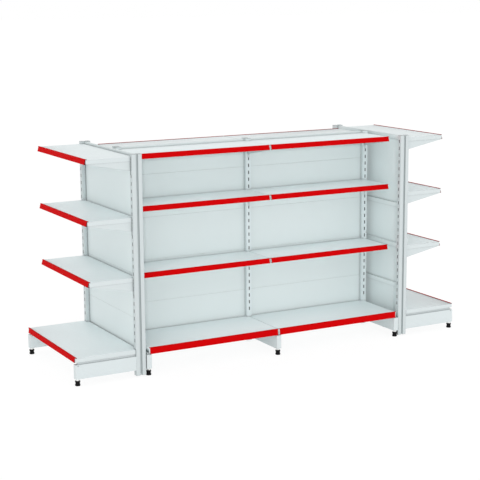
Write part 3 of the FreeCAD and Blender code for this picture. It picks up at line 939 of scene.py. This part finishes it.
@dataclass
class Decks:
    """The folded trays: merged copies of the solids, shaded smoothly round the folds.

    The side folds of the end bays take a darker copy of the deck's paint: painted shade.
    """

    fold_slope: float = 0.7
    run_end: float = 1.02
    smooth_angle: float = 32.0

    def build_one(self, node: bpy.types.Object, name: str, body: str,
                  finishes: Sequence[bpy.types.Material]) -> None:
        """Make one dressed tray node and hang it on its body.

        Args:
            node: the solid.
            name: the new piece's name.
            body: the body that carries it.
            finishes: the paint of the tray, then its darker copy, painted shade, for the side folds in the
                end bays.
        """
        piece = merged_copy(node, name)
        mesh = piece.data
        set_finishes(mesh, finishes)
        side_fold = np.abs(face_vectors(mesh, "normal")[:, 1]) > self.fold_slope
        in_end_bay = np.abs(face_vectors(mesh, "center")[:, 0]) > self.run_end
        # Side folds in the end bays take the painted shade.
        mesh.polygons.foreach_set("material_index", (side_fold & in_end_bay).astype(np.int32))
        smooth_below(mesh, self.smooth_angle)
        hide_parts(node.name)
        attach(piece, body)
        LOG.info("%s with %d faces", name, len(mesh.polygons))

    def build(self, nodes: dict[str, bpy.types.Object], materials: Materials) -> None:
        """Make the upper trays on their own bodies and the base trays on the frame.

        Args:
            nodes: the solids by name.
            materials: the materials by finish name.
        """
        finishes = [materials[finish.name] for finish in (DECK_PAINT, FOLD_PAINTED_SHADE)]
        for side in BaySide:
            for level in Level:
                shelf = side.label + "_" + level.label
                self.build_one(nodes["deck_" + shelf], "folded_deck_" + shelf, "shelf_" + shelf, finishes)
        self.build_one(nodes["base_decks"], "folded_base_decks", FRAME_BODY, finishes)


@dataclass
class Steelwork:
    """The painted steel of the frame and its small pieces, carried over from the solids."""

    finish_of: dict[str, Finish] = field(default_factory=lambda: {
        "main_base_legs": LEG_PAINTED_SHADE,
        "end_base_legs": LEG_PAINTED_SHADE,
        "upright_caps": CAP_PLASTIC,
        "main_panels": PANEL_PAINT,
        "end_panels": END_PANEL_PAINTED_LIGHT,
        "bottom_rails": PANEL_PAINT,
        "top_caps": PANEL_PAINT,
        "main_shelf_brackets": BRACKET_PAINTED_SHADE,
        "end_shelf_brackets": BRACKET_PAINTED_SHADE,
        "corner_tie_bolts": ZINC,
    })
    heel_face: float = 1.094
    heel_slack: float = 0.0001

    def dress(self, nodes: dict[str, bpy.types.Object], materials: Materials) -> None:
        """Give every node that stays its finish.

        Args:
            nodes: the solids by name.
            materials: the materials by finish name.
        """
        for name, finish in self.finish_of.items():
            set_finishes(nodes[name].data, [materials[finish.name]])
            LOG.info("%s takes %s", name, finish.name)
        self.shade_heels(nodes["end_shelf_brackets"].data, materials)

    def shade_heels(self, mesh: bpy.types.Mesh, materials: Materials) -> None:
        """Paint near-black shade on the outer faces of the end brackets' heels, standing for the shadow in
        the gap beside the bracket.

        Args:
            mesh: the brackets' mesh.
            materials: the materials by finish name.
        """
        outward = np.abs(face_vectors(mesh, "center")[:, 0])
        on_shaded_heel = np.abs(outward - self.heel_face) < self.heel_slack
        mesh.materials.append(materials[HEEL_PAINTED_SHADE.name])
        mesh.polygons.foreach_set("material_index", on_shaded_heel.astype(np.int32))


def direction(azimuth: float, elevation: float) -> Vector:
    """The direction from the object to a place round it.

    Args:
        azimuth: degrees from the front, positive towards +X.
        elevation: degrees above the floor.

    Returns:
        A vector of length one.
    """
    turn = math.radians(azimuth)
    rise = math.radians(elevation)
    return Vector((math.sin(turn) * math.cos(rise), -math.cos(turn) * math.cos(rise), math.sin(rise)))


@dataclass(frozen=True)
class Lamp:
    """A soft lamp far away: its strength, and where it stands and how wide it looks, in degrees."""

    name: str
    strength: float
    azimuth: float
    height: float
    width: float

    def build(self) -> None:
        """Add the lamp to the scene."""
        data = bpy.data.lights.new(self.name, "SUN")
        data.energy = self.strength
        data.angle = math.radians(self.width)
        lamp = add_object(self.name, data)
        lamp.rotation_euler = direction(self.azimuth, self.height).to_track_quat("Z", "Y").to_euler()


@dataclass
class Studio:
    """White surroundings, a pale floor, two soft lamps and the camera."""

    azimuth: float = -28.437
    elevation: float = 10.745
    roll: float = -0.417
    distance: float = 9.3846
    target: tuple[float, float, float] = (-0.0550, 0.0, 0.7540)
    focal_pixels: float = 1298.5
    dome_strength: float = 0.75
    floor_half: float = 120.0
    camera_reach: float = 480.0
    floor_albedo: float = 0.86
    floor_glow: float = 0.90
    floor_shade: float = 0.14
    floor_light: float = 0.26
    lamps: tuple[Lamp, ...] = (
        Lamp("front_lamp", strength=0.66, azimuth=-25.0, height=9.0, width=4.0),
        Lamp("high_lamp", strength=0.3, azimuth=-36.0, height=35.0, width=40.0))

    def add_camera(self) -> None:
        """Place the camera on its direction from the target, with the picture centred on the target."""
        roll = math.radians(self.roll)
        back = direction(self.azimuth, self.elevation)
        level = Vector((0.0, 0.0, 1.0)).cross(back).normalized()
        upright = back.cross(level)
        right = level * math.cos(roll) + upright * math.sin(roll)
        above = upright * math.cos(roll) - level * math.sin(roll)
        place = Vector(self.target) + back * self.distance
        data = bpy.data.cameras.new("camera")
        data.sensor_width = SENSOR_MM
        data.lens = self.focal_pixels * SENSOR_MM / IMAGE_PIXELS
        data.clip_end = self.camera_reach
        camera = add_object("camera", data)
        turn = Matrix((right, above, back)).transposed().to_4x4()
        camera.matrix_world = Matrix.Translation(place) @ turn
        bpy.context.scene.camera = camera

    def add_world(self) -> None:
        """Even white surroundings that the camera sees as plain white."""
        world = bpy.data.worlds.new("surroundings")
        world.use_nodes = True
        tree = NodeTree(world.node_tree)
        tree.tree.nodes.clear()
        output = tree.add("ShaderNodeOutputWorld")
        sky = tree.add("ShaderNodeBackground")
        seen = tree.add("ShaderNodeBackground")
        sky.inputs["Color"].default_value = WHITE
        sky.inputs["Strength"].default_value = self.dome_strength
        seen.inputs["Color"].default_value = WHITE
        seen.inputs["Strength"].default_value = 1.0
        mix = tree.add("ShaderNodeMixShader")
        tree.feed(self.direct_sight(tree), mix.inputs["Fac"])
        tree.feed(sky.outputs["Background"], mix.inputs[1])
        tree.feed(seen.outputs["Background"], mix.inputs[2])
        tree.feed(mix.outputs["Shader"], output.inputs["Surface"])
        bpy.context.scene.world = world

    @staticmethod
    def direct_sight(tree: NodeTree) -> Socket:
        """Tell the rays that look at a surface from those that gather light.

        Args:
            tree: the tree that takes the nodes.

        Returns:
            A socket with one where the camera, a reflection or glass looks at the surface, or else zero.
        """
        path = tree.add("ShaderNodeLightPath")
        shiny = tree.math("MAXIMUM", path.outputs["Is Glossy Ray"], path.outputs["Is Transmission Ray"])
        return tree.math("MAXIMUM", path.outputs["Is Camera Ray"], shiny)

    def add_floor(self) -> None:
        """A wide pale floor."""
        half = self.floor_half
        corners = [(-half, -half, 0.0), (half, -half, 0.0), (half, half, 0.0), (-half, half, 0.0)]
        mesh = bpy.data.meshes.new("floor")
        mesh.from_pydata(corners, [], [(0, 1, 2, 3)])
        floor = add_object("floor", mesh)
        mesh.materials.append(self.floor_material())

    def floor_material(self) -> bpy.types.Material:
        """A surface that looks white, keeps a light shadow and throws light back up.

        Returns:
            The material.
        """
        material = bpy.data.materials.new("pale_floor")
        material.use_nodes = True
        tree = NodeTree(material.node_tree)
        tree.tree.nodes.clear()
        output = tree.add("ShaderNodeOutputMaterial")
        plain = tree.add("ShaderNodeBsdfDiffuse")
        plain.inputs["Color"].default_value = (self.floor_albedo,) * 3 + (1.0,)
        shade = tree.add("ShaderNodeBsdfDiffuse")
        shade.inputs["Color"].default_value = (self.floor_shade,) * 3 + (1.0,)
        glow = tree.add("ShaderNodeEmission")
        glow.inputs["Strength"].default_value = self.floor_glow
        seen = tree.add("ShaderNodeAddShader")
        tree.feed(shade.outputs["BSDF"], seen.inputs[0])
        tree.feed(glow.outputs["Emission"], seen.inputs[1])
        mix = tree.add("ShaderNodeMixShader")
        tree.feed(self.direct_sight(tree), mix.inputs["Fac"])
        bounce = tree.add("ShaderNodeEmission")
        bounce.inputs["Strength"].default_value = self.floor_light
        lit = tree.add("ShaderNodeAddShader")
        tree.feed(plain.outputs["BSDF"], lit.inputs[0])
        tree.feed(bounce.outputs["Emission"], lit.inputs[1])
        tree.feed(lit.outputs["Shader"], mix.inputs[1])
        tree.feed(seen.outputs["Shader"], mix.inputs[2])
        tree.feed(mix.outputs["Shader"], output.inputs["Surface"])
        return material

    def build(self) -> None:
        """Set the stage."""
        bpy.context.scene.view_settings.view_transform = "Standard"
        self.add_world()
        self.add_floor()
        for lamp in self.lamps:
            lamp.build()
        self.add_camera()


def main() -> None:
    """Load the frame, dress it and set the stage."""
    logging.basicConfig(level=logging.INFO, format="%(name)s: %(message)s")
    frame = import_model()
    grain_group = make_grain_group()
    crevice_group = make_crevice_group()
    materials = {finish.name: finish.material(grain_group, crevice_group) for finish in FINISHES}
    Steelwork().dress(frame["nodes"], materials)
    Decks().build(frame["nodes"], materials)
    Uprights().build(frame["nodes"], materials)
    PriceStrips().build(materials)
    LevellingFeet().build(materials)
    Studio().build()


if __name__ == "__main__":
    main()
